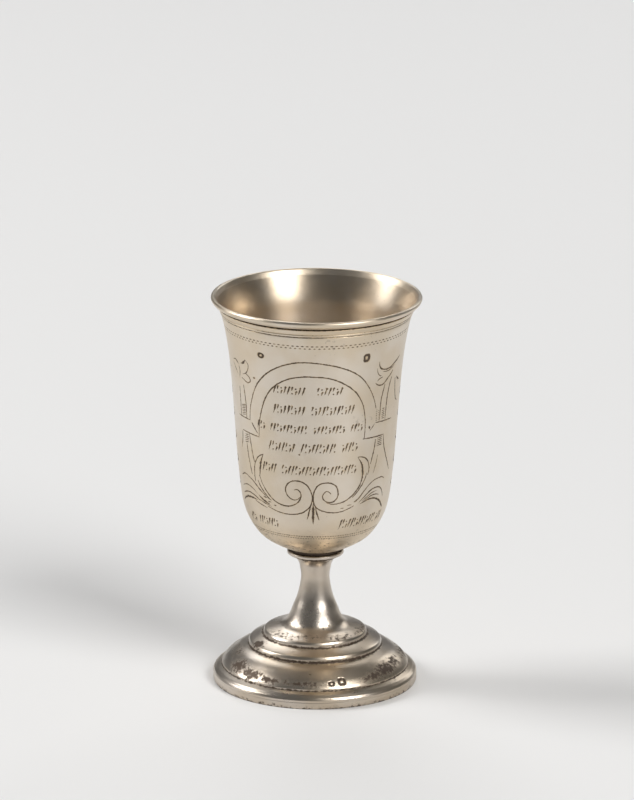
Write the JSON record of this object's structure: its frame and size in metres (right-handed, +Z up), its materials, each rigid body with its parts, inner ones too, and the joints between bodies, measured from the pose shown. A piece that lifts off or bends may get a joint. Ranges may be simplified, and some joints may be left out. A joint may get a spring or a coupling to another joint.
{
  "type": "kiddush cup",
  "caption": "Footed silver kiddush cup: tall beaker bowl with a moulded everted lip on a waisted hollow stem and a stepped round foot.",
  "frame": {"origin": "centre of the foot's underside, on the surface the cup stands on", "axes": "+Z up along the cup's axis; the inscribed front faces -Y, +X is to the viewer's right"},
  "size_m": [0.0658, 0.0658, 0.125],
  "materials": {
    "silver_satin": "satin silver, finely turned, with shallow engraving and light tarnish in the cuts",
    "silver_polished": "worn polished silver with brown-black tarnish in the hollows"
  },
  "bodies": {
    "root": {"bowl": "silver_satin", "collar": "silver_polished", "stem_and_foot": "silver_polished"}
  },
  "joints": []
}
